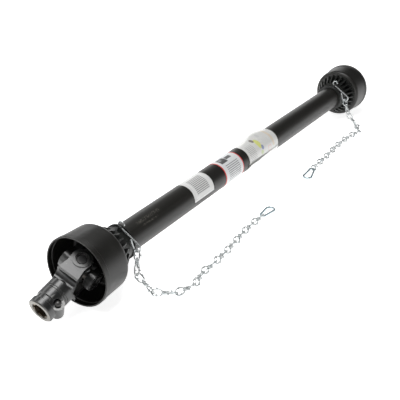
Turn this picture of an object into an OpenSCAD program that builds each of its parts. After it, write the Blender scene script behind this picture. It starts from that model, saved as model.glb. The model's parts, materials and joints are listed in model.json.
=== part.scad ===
// Power take-off drive shaft with telescoping plastic guard.
// All sizes are in millimetres. The shaft lies along X and rests on its guard cones on the floor at z = 0.
// The near end is the end at the smallest X. Both ends use the same parts.

/* [Overall] */
// Distance between the rim planes of the two guard cones, shaft pushed together
shaft_length = 1380; // [1180:10:1600]
// Distance from a cone's rim plane in to the centre of its universal joint
joint_inset = 14; // [10:1:30]
// Turn of the whole driveline about its own axis at rest, in degrees
driveline_roll = 25; // [-40:1:40]
// Bend of the near joint about its inner pin, in degrees, downwards
near_droop = 16; // [0:1:30]
// Bend of the far joint about its inner pin, in degrees, downwards
far_droop = 16; // [0:1:30]
// Swing of the near outer yoke sideways about its own pin, degrees
near_swing = 4.6; // [-30:0.1:30]
// Bend of the far joint about its outer pin, in degrees, sideways
far_swing = 0; // [0:1:30]

/* [Universal joint] */
// Outside diameter of a needle bearing cap
cap_diameter = 27; // [22:0.5:30]
// Length over two opposite bearing caps
cap_span = 74.6; // [60:0.1:80]
// Diameter of a journal of the cross
journal_diameter = 16; // [12:0.5:20]
// Length of a bearing cap
cap_length = 15; // [10:0.5:18]
// Radius of the round end of a fork arm
arm_radius = 22; // [19:0.5:26]
// Thickness of a fork arm at the bearing bore
arm_thickness = 14.5; // [12:0.5:18]
// How much the sides of an arm draw in behind its eye, in degrees
arm_draw = 7; // [3:0.5:12]
// Height of the raised ring around a bearing bore
arm_boss_height = 1.6; // [0.5:0.1:3]
// Depth of the fork from the joint centre to the bottom of its throat
fork_depth = 50.5; // [48:0.5:60]

/* [Splined yoke] */
// Distance from the joint centre to the end face of the splined hub
hub_reach = 119.5; // [100:1:130]
// Outside diameter of the splined hub
hub_diameter = 56; // [50:1:64]
// Root diameter of the six-key spline bore
spline_root_diameter = 34.9; // [30:0.1:40]
// Tip diameter of the six-key spline bore
spline_tip_diameter = 29.9; // [25:0.1:36]
// Width of a groove between two keys of the bore
spline_groove_width = 8.7; // [6:0.1:12]
// Distance from the hub's end face to the axis of the push pin
pin_setback = 26.5; // [20:0.5:36]
// Distance from the bore axis to the axis of the push pin
pin_offset = 21; // [18:0.1:24]
// Diameter of the push pin
pin_diameter = 12; // [8:0.5:14]
// Travel of the push pin when it is pressed
pin_travel = 6; // [4:0.5:8]

/* [Inner yoke and profile tubes] */
// Diameter of the inner yoke's collar
collar_diameter = 68; // [60:1:76]
// Width of the groove that the nylon ring runs in
ring_groove_width = 8; // [6:0.5:12]
// Depth of the groove that the nylon ring runs in
ring_groove_depth = 3; // [2:0.5:4]
// Distance from the shaft axis to the centre of a corner of the profile
profile_reach = 18.5; // [14:0.5:22]
// Outer corner radius of the larger profile tube
profile_corner = 8; // [6:0.5:10]
// Wall thickness of the larger profile tube
outer_profile_wall = 3.6; // [2.5:0.1:5]
// Wall thickness of the smaller profile tube
inner_profile_wall = 3.2; // [2:0.1:4]
// Sliding clearance between the two profile tubes
profile_clearance = 0.3; // [0.1:0.05:0.6]
// Diameter of the roll pin that holds a yoke on its tube
roll_pin_diameter = 10; // [6:0.5:12]
// Running clearance of a turning or sliding fit, on the radius
running_clearance = 0.05; // [0.02:0.01:0.1]

/* [Guard] */
// Diameter of a guard cone at its rim
cone_diameter = 154; // [130:1:180]
// Diameter of a guard cone at its shoulder
cone_shoulder_diameter = 146.6; // [120:0.1:170]
// Length of a guard cone from its rim to its back face
cone_length = 77.5; // [60:0.5:100]
// Wall thickness of a guard cone
cone_wall = 3; // [2:0.1:4]
// Radius of the round shoulder of a guard cone
cone_shoulder_radius = 10; // [6:0.5:14]
// Width of the raised band at the rim of a guard cone
cone_band = 11; // [6:0.5:20]
// Outside diameter of the larger guard tube
guard_diameter = 67; // [60:0.5:74]
// Wall thickness of a guard tube
guard_wall = 3; // [2:0.1:4]
// Clearance between the two guard tubes, on the radius
guard_clearance = 0.25; // [0.1:0.05:0.6]
// Length of a guard collar behind the cone
collar_length = 64; // [50:1:80]
// Number of ribs around a guard collar
rib_count = 24; // [12:1:36]
// Thickness of a rib of a guard collar
rib_thickness = 3; // [2:0.1:5]
// Diameter over the ribs of a guard collar at the cone
rib_diameter = 124; // [110:1:130]
// Diameter of the stop flange at the end of a guard collar
flange_diameter = 82; // [76:1:92]

/* [Chains] */
// Wire diameter of the chain links
chain_wire = 3; // [2:0.1:4]
// Mean radius of the round ends of a chain link's loop
chain_loop_radius = 7; // [5:0.5:9]
// Straight length of the sides of a chain link's loop
chain_loop_straight = 8; // [4:0.5:14]
// Free play where two links hang in each other
chain_play = 0.3; // [0.1:0.05:0.5]
// Wire diameter of the hooks
hook_wire = 4; // [3:0.5:6]
// Length of the straight shank of a hook
hook_shank = 54; // [40:1:70]

/* [Labels] */
// Thickness of a sticker
sticker_thickness = 0.3; // [0.2:0.05:0.6]

/* [Hidden] */
$fn = 64;

// Colours of the materials
plastic_black = [0.10, 0.10, 0.10];
tube_black = [0.13, 0.13, 0.12];
paint_black = [0.16, 0.17, 0.17];
steel_bare = [0.55, 0.52, 0.47];
zinc = [0.72, 0.76, 0.78];
nylon = [0.83, 0.82, 0.76];
paper = [0.93, 0.93, 0.91];

// The shaft axis is as high as the cone's rim radius
axis_height = cone_diameter / 2;
// The part is centred in X and Y on the box round everything
centre_x = shaft_length / 2;
centre_y = -44.68;

// Sizes of the fork that follow from the bearing caps
cap_radius = cap_diameter / 2;
arm_outside = cap_span / 2 + 3.2;
arm_inside = arm_outside - arm_thickness;
arm_draw_x = arm_radius * sin(arm_draw);
arm_draw_y = arm_radius * cos(arm_draw) - 0.05;
arm_waist = arm_draw_y - (18 - arm_draw_x) * tan(arm_draw);
ring_groove_radius = cap_radius + 0.9;
circlip_thickness = 1.6;
journal_radius = journal_diameter / 2;
cross_reach = cap_span / 2 - 2.6;
hub_radius = hub_diameter / 2;
inner_hub_end = 77;
pin_axis_x = hub_reach - pin_setback;
pin_radius = pin_diameter / 2;
pin_boss_radius = 13;
tube_shoulder = fork_depth + 3.5;
pin_boss_top = 16;
pin_boss_bottom = -20;
pin_foot = -8.5;
notch_low = -2.5;
spring_seat = pin_boss_bottom + 2;

// Sizes of the guard
cone_radius = cone_diameter / 2;
shoulder_radius = cone_shoulder_diameter / 2;
guard_radius = guard_diameter / 2;
guard_inside = guard_radius - guard_wall;
inner_guard_radius = guard_inside - guard_clearance;
inner_guard_inside = inner_guard_radius - guard_wall;
collar_bore = collar_diameter / 2 + 2;
collar_mouth = cone_length - 2 * cone_wall;
collar_end = cone_length + collar_length;
tube_seat = cone_length + 20.5;
groove_start = cone_length + 6.5;
yoke_collar_end = tube_seat - 1.5;
flange_start = collar_end - 4;
lug_x = flange_start - 8;
lug_radius = 44.5;
near_lug_angle = 105;
far_lug_angle = 105;
outer_guard_end = shaft_length - collar_end - 2;
inner_guard_end = collar_end;
outer_profile_end = shaft_length - tube_seat - 14;
inner_profile_end = tube_seat + 20;

// Sizes of the chain
// Centre line of the loop's wire nearest to the knot
loop_near = 1.5 * chain_wire;
link_half = loop_near + 2 * chain_loop_radius + chain_loop_straight;
// Yaw, pitch and roll of each link of the near chain, from the hook to the snap hook
near_links = [
    [-147.4, -58.3, 135],
    [-92.4, -35, 15],
    [-60.7, 0, 45],
    [-16.6, 0, 45],
    [12.5, 0, 45],
    [-1.3, 0, 45],
    [2.5, 0, 45],
    [5.7, 0, 45],
    [6.3, 0, 45],
    [2.5, 0, 45],
    [-0.8, 0, 45]
];
// Yaw, pitch and roll of each link of the far chain, from the hook to the snap hook
far_links = [
    [-99.1, -66.4, 20],
    [-117.9, -32.3, 30],
    [-148.4, 0, 45],
    [-190.7, 0, 45],
    [-185.2, 0, 45],
    [-179.9, 0, 45],
    [-176.4, 0, 45],
    [-177.2, 0, 45],
    [-179, 0, 45],
    [-176.8, 0, 45]
];
// How far the first link hangs past the hook's wire
near_bite = 4.1;
far_bite = 5.7;
// Slope down from a hook's lug to the lowest point of its loop
hook_tilt = 35;
// Free play between the last link and the snap hook's eye
snap_play = 1.7;
// Snap hook: wire, eye radius, end radius, distance between the two centres
snap_wire = 5;
snap_eye = 6.5;
snap_end = 11;
snap_span = 41.5;
snap_slope = asin((snap_end - snap_eye) / snap_span);
snap_side = sqrt(snap_span * snap_span - (snap_end - snap_eye) * (snap_end - snap_eye));
snap_pivot = 9.5;
snap_pitch = -3.9;
near_snap_yaw = 1.5;
far_snap_yaw = -173;
// Radius of the loop of a hook and length of the straight sides of that loop
hook_loop = 9.5;
hook_pear = 26;
// Length of a hook's shank behind the middle of its lug
hook_lap = 1.5;
// Neck of an outer yoke: its middle, its radius, the curve of its hollow and where the arm's flat ends
neck_x = 53.5;
neck_radius = 23;
neck_curve = 11;
plateau_end = 40;
// Distance from each wire end to the middle of the sleeve that joins a straight wire to a bent one
wire_lap = 0.35;
// Height of a sleeve over its wire
joint_swell = 0.1;

// The frame of the handed-in part
module place() {
    translate([-centre_x, -centre_y, axis_height])
        children();
}

// The frame of the far half, turned so that the same parts fit it
module far_side() {
    translate([shaft_length, 0, 0])
        rotate([0, 0, 180])
            children();
}

// Turns a rotate_extrude round X, with the profile drawn as radius and X
module round_x(angle = 360) {
    rotate([0, 90, 0])
        rotate_extrude(angle = angle)
            children();
}

// A bar along X
module bar_x(x0, x1, r) {
    translate([x0, 0, 0])
        rotate([0, 90, 0])
            cylinder(h = x1 - x0, r = r);
}

// The frame of the near inner yoke, whose bearing pin lies along Y
module near_inner_frame() {
    translate([joint_inset, 0, 0])
        rotate([driveline_roll, 0, 0])
            children();
}

// The frame of the far inner yoke, with its hub towards smaller X
module far_inner_frame() {
    translate([shaft_length - joint_inset, 0, 0])
        rotate([driveline_roll, 0, 0])
            children();
}

// The frame of the near cross
module near_cross_frame() {
    near_inner_frame()
        rotate([0, -near_droop, 0])
            children();
}

// The frame of the far cross
module far_cross_frame() {
    far_inner_frame()
        rotate([0, far_droop, 0])
            children();
}

// The frame of the near splined yoke, hub along its own X
module near_outer_frame() {
    near_cross_frame()
        rotate([0, 0, 180 + near_swing])
            children();
}

// The frame of the far splined yoke, hub along its own X
module far_outer_frame() {
    far_cross_frame()
        rotate([0, 0, far_swing])
            children();
}

// Bearing cap: a cup with its closed end outwards, on the +Z side of the joint centre
module cap() {
    difference() {
        translate([0, 0, cap_span / 2 - cap_length])
            cylinder(h = cap_length, r = cap_radius);
        translate([0, 0, cap_span / 2 - cap_length - 1])
            cylinder(h = cap_length - 1.5, r = journal_radius + running_clearance);
        translate([0, 0, cap_span / 2 - 0.7])
            rotate_extrude()
                translate([cap_radius - 4.2, 0])
                    square([1.6, 2]);
    }
}

// Two caps of one yoke, along Z
module cap_pair() {
    cap();
    mirror([0, 0, 1])
        cap();
}

// Retaining ring: an open spring ring with two eyes, seated on the cap
module circlip() {
    translate([0, 0, cap_span / 2]) {
        difference() {
            linear_extrude(height = circlip_thickness)
                difference() {
                    circle(r = ring_groove_radius);
                    translate([0.6, 0])
                        circle(r = cap_radius - 1.9);
                    translate([-ring_groove_radius - 1, -3.2])
                        square([6, 6.4]);
                }
        }
        for (side = [-1, 1])
            linear_extrude(height = circlip_thickness)
                difference() {
                    translate([-cap_radius + 3.1, side * 5])
                        circle(r = 2.2);
                    translate([-cap_radius + 3.1, side * 5])
                        circle(r = 0.9);
                }
    }
}

// Two retaining rings of one yoke, along Z
module circlip_pair() {
    circlip();
    mirror([0, 0, 1])
        circlip();
}

// Side outline of a fork, in X and the direction across the pin
module fork_side(hub_r, hub_x) {
    circle(r = arm_radius);
    polygon([
        [arm_draw_x, -arm_draw_y],
        [18, -arm_waist],
        [fork_depth - 6, -hub_r - 2],
        [hub_x, -hub_r],
        [hub_x, hub_r],
        [fork_depth - 6, hub_r + 2],
        [18, arm_waist],
        [arm_draw_x, arm_draw_y]
    ]);
}

// Front outline of a fork, in X and the direction of the pin, flat as far as plateau
module fork_front(hub_r, hub_x, plateau) {
    difference() {
        polygon([
            [-arm_radius - 1, -arm_outside],
            [plateau, -arm_outside],
            [plateau + 6, -arm_outside + 1.5],
            [max(plateau + 7, fork_depth - 5), -hub_r - 3.5],
            [hub_x, -hub_r],
            [hub_x, hub_r],
            [max(plateau + 7, fork_depth - 5), hub_r + 3.5],
            [plateau + 6, arm_outside - 1.5],
            [plateau, arm_outside],
            [-arm_radius - 1, arm_outside]
        ]);
        translate([fork_depth - arm_inside, 0])
            circle(r = arm_inside);
        translate([-arm_radius - 2, -arm_inside])
            square([fork_depth - arm_inside + arm_radius + 2, 2 * arm_inside]);
    }
}

// Forged fork with its pin along Z and its hub towards +X
module fork(hub_r, hub_x, plateau) {
    difference() {
        union() {
            intersection() {
                linear_extrude(height = 2 * arm_outside, center = true)
                    fork_side(hub_r, hub_x);
                rotate([90, 0, 0])
                    linear_extrude(height = 90, center = true)
                        fork_front(hub_r, hub_x, plateau);
            }
            for (side = [-1, 1])
                translate([0, 0, side * (arm_outside + arm_boss_height / 2)])
                    cylinder(h = arm_boss_height, r = arm_radius - 2.6, center = true);
        }
        cylinder(h = 4 * arm_outside, r = cap_radius, center = true);
        for (side = [-1, 1])
            translate([0, 0, side * (cap_span / 2 + circlip_thickness / 2)])
                cylinder(h = circlip_thickness, r = ring_groove_radius, center = true);
    }
}

// The six-key bore, as a flat shape
module spline_shape() {
    circle(r = spline_tip_diameter / 2);
    intersection() {
        circle(r = spline_root_diameter / 2);
        for (turn = [0 : 60 : 300])
            rotate(turn)
                translate([0, -spline_groove_width / 2])
                    square([spline_root_diameter, spline_groove_width]);
    }
}

// Body of the push pin boss, with its axis along Z
module pin_boss_solid() {
    translate([pin_axis_x, pin_offset, pin_boss_bottom])
        cylinder(h = pin_boss_top - pin_boss_bottom, r = pin_boss_radius);
    translate([pin_axis_x - pin_boss_radius, 0, pin_boss_bottom + 5])
        cube([2 * pin_boss_radius, pin_offset, pin_boss_top - pin_boss_bottom - 9]);
}

// Hollow of the neck between the arms and the hub, in X and the direction away from the axis
module neck_hollow() {
    translate([neck_x, neck_radius + neck_curve])
        circle(r = neck_curve);
}

// Splined quick-release yoke with its pin along Z and its hub along +X
module outer_yoke() {
    difference() {
        union() {
            difference() {
                fork(neck_radius - 0.8, neck_x + 3, plateau_end);
                for (side = [-1, 1])
                    rotate([90 * side, 0, 0])
                        linear_extrude(height = 90, center = true)
                            neck_hollow();
            }
            round_x()
                difference() {
                    polygon([
                        [0, fork_depth - 3],
                        [neck_radius - 0.8, fork_depth - 3],
                        [neck_radius + 1, neck_x],
                        [hub_radius, neck_x + 3],
                        [hub_radius, fork_depth + 20],
                        [hub_radius - 1.2, fork_depth + 20.6],
                        [hub_radius - 1.2, fork_depth + 22],
                        [hub_radius, fork_depth + 22.6],
                        [hub_radius, fork_depth + 24.6],
                        [hub_radius - 1.2, fork_depth + 25.2],
                        [hub_radius - 1.2, fork_depth + 26.6],
                        [hub_radius, fork_depth + 27.2],
                        [hub_radius, hub_reach - 25],
                        [hub_radius - 2.4, hub_reach - 23.5],
                        [hub_radius - 2.4, hub_reach - 15],
                        [hub_radius, hub_reach - 13.5],
                        [hub_radius, hub_reach - 2.5],
                        [hub_radius - 2.5, hub_reach],
                        [0, hub_reach]
                    ]);
                    neck_hollow();
                }
            pin_boss_solid();
            // Pointed web towards the fork that starts the teardrop outline of the boss face
            translate([pin_axis_x, pin_offset, pin_boss_top - 6])
                linear_extrude(height = 6)
                    polygon([
                        [-11.2, -6.6],
                        [-14, -12.5],
                        [-3, -15],
                        [3, -12.6]
                    ]);
            // Pointed tip of the teardrop towards the end face
            translate([pin_axis_x, pin_offset, pin_boss_top - 4])
                linear_extrude(height = 4)
                    polygon([
                        [4, -12.3],
                        [18, -8],
                        [18.5, -4],
                        [8, 10.2]
                    ]);
        }
        // Spline bore from the throat of the fork to the end face
        translate([fork_depth - 8, 0, 0])
            rotate([90, 0, 90])
                linear_extrude(height = hub_reach - fork_depth + 10)
                    spline_shape();
        // Lead-in at the mouth
        round_x()
            polygon([
                [0, hub_reach - 2],
                [spline_root_diameter / 2 + 0.6, hub_reach - 2],
                [spline_root_diameter / 2 + 2.2, hub_reach + 1],
                [0, hub_reach + 1]
            ]);
        // Blind hole for the push pin and its spring
        translate([pin_axis_x, pin_offset, spring_seat])
            cylinder(h = 60, r = pin_radius + running_clearance);
        translate([pin_axis_x, pin_offset, pin_boss_top - 2.8])
            cylinder(h = 20, r = pin_radius + 2.6);
    }
}

// Push pin: domed head, round shank and a notch that faces the spline bore
module push_pin() {
    translate([pin_axis_x, pin_offset, 0])
        difference() {
            union() {
                translate([0, 0, pin_foot])
                    cylinder(h = pin_boss_top + pin_travel - 2.5 - pin_foot, r = pin_radius);
                translate([0, 0, pin_boss_top + pin_travel - 2.5])
                    intersection() {
                        cylinder(h = 3, r = pin_radius);
                        translate([0, 0, -4.4])
                            sphere(r = 7.45);
                    }
            }
            translate([-20, -20 - (pin_offset - spline_root_diameter / 2), notch_low])
                cube([40, 20, 17]);
        }
}

// Points of one turn of the spring wire's cross-section
function spring_point(turn, around, r, w, rise) =
    let (reach = r + w * cos(around))
    [reach * cos(turn), reach * sin(turn), rise * turn / 360 + w * sin(around)];

// Coil spring under the foot of the push pin, as a swept wire
module pin_spring() {
    steps = 60;
    sides = 8;
    wire_r = 0.55;
    coil_r = pin_radius - wire_r - 0.5;
    turns = 3.5;
    rise = (pin_foot - spring_seat - 2 * wire_r - 0.1) / turns;
    points = [
        for (i = [0 : steps])
            for (j = [0 : sides - 1])
                spring_point(i * turns * 360 / steps, j * 360 / sides, coil_r, wire_r, rise)
    ];
    skin = [
        for (i = [0 : steps - 1])
            for (j = [0 : sides - 1])
                [
                    i * sides + j,
                    i * sides + (j + 1) % sides,
                    (i + 1) * sides + (j + 1) % sides,
                    (i + 1) * sides + j
                ]
    ];
    first_end = [for (j = [0 : sides - 1]) sides - 1 - j];
    last_end = [for (j = [0 : sides - 1]) steps * sides + j];
    translate([pin_axis_x, pin_offset, spring_seat + wire_r + 0.05])
        polyhedron(points = points, faces = concat(skin, [first_end, last_end]), convexity = 6);
}

// Cross of the universal joint: one along Y, one along Z
module cross() {
    difference() {
        union() {
            cylinder(h = 2 * cross_reach, r = journal_radius, center = true);
            rotate([90, 0, 0])
                cylinder(h = 2 * cross_reach, r = journal_radius, center = true);
            cylinder(h = 2 * arm_inside - 8, r = journal_radius + 3, center = true);
            rotate([90, 0, 0])
                cylinder(h = 2 * arm_inside - 8, r = journal_radius + 3, center = true);
            sphere(r = 15.5);
            rotate([45, 0, 0])
                cylinder(h = 20.5, r = 5);
        }
        cylinder(h = 4 * cross_reach, r = 3, center = true);
        rotate([90, 0, 0])
            cylinder(h = 4 * cross_reach, r = 3, center = true);
        rotate([45, 0, 0])
            cylinder(h = 30, r = 2.5);
    }
}

// Grease nipple in the corner of the cross
module nipple() {
    rotate([45, 0, 0]) {
        translate([0, 0, 20.5])
            cylinder(h = 4, r = 4.6, $fn = 6);
        rotate_extrude()
            polygon([
                [0, 8],
                [2.5 - running_clearance, 8],
                [2.5 - running_clearance, 24.5],
                [2.2, 25],
                [2.2, 25.8],
                [3.1, 26.6],
                [3.1, 28],
                [1.8, 30],
                [0, 30]
            ]);
    }
}

// Rounded triangle of a profile tube, as a flat shape
module profile_shape(corner) {
    for (turn = [90, 210, 330])
        rotate(turn)
            translate([profile_reach, 0])
                circle(r = corner);
    polygon([
        for (turn = [90, 210, 330])
            for (side = [-48, 48])
                [
                    profile_reach * cos(turn) + corner * cos(turn + side),
                    profile_reach * sin(turn) + corner * sin(turn + side)
                ]
    ]);
}

// A length of profile tube
module profile_tube(x0, x1, corner, wall, pin_x) {
    difference() {
        translate([x0, 0, 0])
            rotate([90, 0, 90])
                linear_extrude(height = x1 - x0)
                    difference() {
                        profile_shape(corner);
                        profile_shape(corner - wall);
                    }
        translate([pin_x, 0, 0])
            cylinder(h = 90, r = roll_pin_diameter / 2, center = true);
    }
}

// Inner yoke with its pin along Y, its hub along +X and a socket for a profile tube
module inner_yoke(corner) {
    difference() {
        union() {
            rotate([90, 0, 0])
                fork(collar_diameter / 2 - 5, fork_depth + 9, 24);
            round_x()
                polygon([
                    [0, fork_depth - 4],
                    [collar_diameter / 2 - 4, fork_depth - 4],
                    [collar_diameter / 2 - 2.5, fork_depth + 5],
                    [collar_diameter / 2, fork_depth + 8],
                    [collar_diameter / 2, groove_start - joint_inset],
                    [collar_diameter / 2 - ring_groove_depth, groove_start - joint_inset],
                    [
                        collar_diameter / 2 - ring_groove_depth,
                        groove_start - joint_inset + ring_groove_width
                    ],
                    [collar_diameter / 2, groove_start - joint_inset + ring_groove_width],
                    [collar_diameter / 2, yoke_collar_end - joint_inset - 1.5],
                    [collar_diameter / 2 - 1.5, yoke_collar_end - joint_inset],
                    [0, yoke_collar_end - joint_inset]
                ]);
        }
        // Socket for the profile tube, with a round hole on to the throat of the fork
        translate([tube_shoulder, 0, 0])
            rotate([90, 0, 90])
                linear_extrude(height = 60)
                    profile_shape(corner);
        bar_x(0, tube_shoulder + 1, profile_reach - 5);
        // Cross hole for the roll pin
        translate([fork_depth + 7, 0, 0])
            cylinder(h = 90, r = roll_pin_diameter / 2, center = true);
    }
}

// Roll pin through yoke and tube, along Z, with its slot
module roll_pin() {
    translate([fork_depth + 7, 0, 0])
        difference() {
            cylinder(h = collar_diameter - 6, r = roll_pin_diameter / 2, center = true);
            cylinder(h = 90, r = roll_pin_diameter / 2 - 1.6, center = true);
            translate([roll_pin_diameter / 2, 0, 0])
                cube([6, 1.2, 90], center = true);
        }
}

// Guard cone with a raised rim band, a round shoulder and a back wall with a hole for the collar
module cone() {
    r = cone_shoulder_radius;
    w = cone_wall;
    cx = cone_length - r;
    cr = shoulder_radius - r;
    round_x()
        difference() {
            union() {
                polygon([
                    [0, 0],
                    [cone_radius - 0.6, 0],
                    [cone_radius, 0.6],
                    [cone_radius, cone_band],
                    [cone_radius - 1.2, cone_band + 1.2],
                    [shoulder_radius, cx],
                    [cr, cx],
                    [cr, cone_length],
                    [0, cone_length]
                ]);
                translate([cr, cx])
                    circle(r = r);
            }
            polygon([
                [-1, -1],
                [cone_radius - w, -1],
                [cone_radius - w, cone_band],
                [cone_radius - 1.2 - w, cone_band + 1.2],
                [shoulder_radius - w, cx],
                [cr, cx],
                [cr, cone_length - w],
                [-1, cone_length - w]
            ]);
            translate([cr, cx])
                circle(r = r - w);
            translate([-1, -1])
                square([47, 200]);
            translate([-200, -1])
                square([200, 200]);
        }
}

// One rib of the guard collar, in the plane of X and Z
module collar_rib() {
    rotate([90, 0, 0])
        linear_extrude(height = rib_thickness, center = true)
            polygon([
                [cone_length + 2, 41],
                [cone_length + 2, rib_diameter / 2],
                [cone_length + 8, rib_diameter / 2 - 1],
                [cone_length + 32, 48],
                [cone_length + 32, 41]
            ]);
}

// Guard collar: clip ring, ribbed cone, sleeve, stop flange and chain lug
module collar(seat_radius, lug_angle) {
    difference() {
        union() {
            round_x()
                polygon([
                    [collar_bore + 6, collar_mouth],
                    [48, collar_mouth],
                    [49, collar_mouth + 1],
                    [49, collar_mouth + cone_wall],
                    [46, collar_mouth + cone_wall],
                    [46, cone_length],
                    [rib_diameter / 2, cone_length],
                    [rib_diameter / 2, cone_length + 3],
                    [47, cone_length + 3],
                    [42.5, cone_length + 34],
                    [38, cone_length + 36],
                    [37.4, flange_start],
                    [flange_diameter / 2 - 0.6, flange_start],
                    [flange_diameter / 2, flange_start + 0.6],
                    [flange_diameter / 2, collar_end - 0.6],
                    [flange_diameter / 2 - 0.6, collar_end],
                    [seat_radius, collar_end],
                    [seat_radius, tube_seat],
                    [collar_bore, tube_seat],
                    [collar_bore, collar_mouth + 9],
                    [collar_bore + 6, collar_mouth + 3]
                ]);
            for (i = [0 : rib_count - 1])
                rotate([i * 360 / rib_count, 0, 0])
                    collar_rib();
            // Lug for the chain hook, standing along X
            rotate([lug_angle - 90, 0, 0])
                rotate([90, 0, 0])
                    linear_extrude(height = 5, center = true) {
                        translate([lug_x, lug_radius])
                            circle(r = 6.2);
                        polygon([
                            [lug_x - 9, 36.5],
                            [lug_x - 5.2, lug_radius + 2],
                            [lug_x + 5.2, lug_radius + 2],
                            [lug_x + 8.5, 36.5]
                        ]);
                    }
        }
        rotate([lug_angle - 90, 0, 0])
            translate([lug_x, 0, lug_radius])
                rotate([90, 0, 0])
                    cylinder(h = 20, r = hook_wire / 2 + 1.6, center = true);
    }
}

// Nylon ring that lets the guard stand still on the turning yoke, with a slit for fitting
module bearing_ring() {
    inside = collar_diameter / 2 - ring_groove_depth + running_clearance;
    difference() {
        round_x()
            polygon([
                [inside, groove_start + running_clearance],
                [collar_bore, groove_start + running_clearance],
                [collar_bore, groove_start + ring_groove_width - running_clearance],
                [inside, groove_start + ring_groove_width - running_clearance]
            ]);
        translate([groove_start - 1, -2, -60])
            cube([ring_groove_width + 2, 4, 60]);
    }
}

// A length of round guard tube
module guard_tube(x0, x1, r, inside) {
    difference() {
        bar_x(x0, x1, r);
        bar_x(x0 - 1, x1 + 1, inside);
    }
}

// Arc of wire in the XY plane, centre at the origin, from angle a0 and turned by a
module wire_arc(radius, wire, a0, a) {
    rotate([0, 0, a0])
        rotate_extrude(angle = a)
            translate([radius, 0])
                circle(d = wire, $fn = 32);
}

// Arc of wire with a short sleeve over each end that goes on, 1 for the first and 2 for the last
module wire_bend(radius, wire, a0, a, joints = [1, 2]) {
    short = asin(wire_lap / radius);
    first = len(search(1, joints)) > 0;
    last = len(search(2, joints)) > 0;
    wire_arc(radius, wire, a0 + (first ? short : 0), a - (first ? short : 0) - (last ? short : 0));
    for (j = joints)
        rotate([0, 0, j == 1 ? a0 : a0 + a])
            translate([radius, 0, 0])
                rotate([90, 0, 0])
                    cylinder(h = 4 * wire_lap, d = wire + 2 * joint_swell, center = true, $fn = 32);
}

// Hook in the XY plane: an open curl over the origin, a shank along X and a pear-shaped loop
module wire_hook(shank) {
    r = hook_loop;
    half = atan(r / hook_pear);
    gap = (hook_wire + 0.4) / sin(2 * half);
    translate([0, 7, 0])
        wire_bend(7, hook_wire, -325, 235, [2]);
    translate([wire_lap, 0, 0])
        rotate([0, 90, 0])
            cylinder(h = shank - 2 * wire_lap, d = hook_wire, $fn = 32);
    translate([shank, -r, 0])
        wire_bend(r, hook_wire, -90 - 2 * half, 180 + 2 * half);
    translate([shank - hook_pear, 0, 0])
        rotate([0, 0, -2 * half])
            translate([gap, 0, 0])
                rotate([0, 90, 0])
                    cylinder(h = hook_pear - wire_lap - gap, d = hook_wire, $fn = 32);
}

// Lowest point of a hook's loop, in the frame of the guard
function hook_low(x, lug_angle) =
    let (
        reach = hook_shank,
        drop = 8,
        y0 = lug_radius * cos(lug_angle),
        z0 = lug_radius * sin(lug_angle)
    )
    [
        x,
        y0 - reach * cos(hook_tilt) + drop * sin(hook_tilt),
        z0 - reach * sin(hook_tilt) - drop * cos(hook_tilt) - drop
    ];

// A hook in its lug, with its loop's lowest point at hook_low
module placed_hook(x, lug_angle) {
    y = lug_radius * cos(lug_angle);
    z = lug_radius * sin(lug_angle);
    low = hook_low(x, lug_angle);
    side = y - low[1];
    fall = z - low[2] - hook_loop;
    reach = sqrt(side * side + fall * fall);
    translate([x, y, z])
        rotate([atan2(fall, side) - asin(hook_loop / reach), 0, 0])
            rotate([90, 0, -90])
                translate([-hook_lap, 0, 0])
                    wire_hook(sqrt(reach * reach - hook_loop * hook_loop) + hook_lap);
}

// Unit vector of a heading
function heading(h) = [cos(h[1]) * cos(h[0]), cos(h[1]) * sin(h[0]), sin(h[1])];

// Distance from the crossing point of two links to the centre line of each end wire
function link_offset(a, b) =
    let (
        c = heading(a) * heading(b),
        r = chain_loop_radius,
        m = r - chain_wire - chain_play,
        q = (r * r - m * m) / (2 * (1 + c))
    )
    r / 2 - sqrt(max(0, r * r / 4 - q));

// Start of link number i of a chain
function link_start(links, first, i) =
    i == 0
        ? first
        : link_start(links, first, i - 1)
            + (2 * link_half - link_offset(links[i - 1], links[i])) * heading(links[i - 1])
            - link_offset(links[i - 1], links[i]) * heading(links[i]);

// End of the last link of a chain
function chain_end(links, first) =
    link_start(links, first, len(links) - 1) + 2 * link_half * heading(links[len(links) - 1]);

// One oval loop of a link in the XY plane, from loop_near to link_half along X
module link_loop() {
    middle = loop_near + chain_loop_radius + chain_loop_straight / 2;
    translate([middle + chain_loop_straight / 2, 0, 0])
        wire_arc(chain_loop_radius, chain_wire, -90, 180);
    translate([middle - chain_loop_straight / 2, 0, 0])
        wire_arc(chain_loop_radius, chain_wire, 90, 180);
    for (side = [-1, 1])
        translate([middle - chain_loop_straight / 2, side * chain_loop_radius, 0])
            rotate([0, 90, 0])
                cylinder(h = chain_loop_straight, d = chain_wire, $fn = 32);
}

// One link of knotted double-loop chain, its knot at the origin
module link() {
    rotate([0, 0, 180])
        link_loop();
    rotate([90, 0, 0])
        link_loop();
    rotate([0, 90, 0])
        cylinder(h = 2 * loop_near + 1, r = chain_wire * 0.8, center = true, $fn = 32);
    for (i = [-1, 0, 1])
        translate([i * chain_wire * 0.95, 0, 0])
            rotate([0, 90, 0])
                rotate_extrude()
                    translate([chain_wire * 0.95, 0])
                        circle(d = chain_wire * 0.96, $fn = 32);
}

// A chain of separate links
module chain(links, first) {
    for (i = [0 : len(links) - 1])
        translate(link_start(links, first, i) + link_half * heading(links[i]))
            rotate([0, 0, links[i][0]])
                rotate([0, -links[i][1], 0])
                    rotate([links[i][2], 0, 0])
                        link();
}

// A straight piece of the snap hook's gate side, between two distances from the eye
module snap_bar(side, a, b, d) {
    translate([snap_eye, 0, 0])
        rotate([0, 0, side * snap_slope])
            translate([a, side * snap_eye, 0])
                rotate([0, 90, 0])
                    cylinder(h = b - a, d = d, $fn = 32);
}

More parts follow.
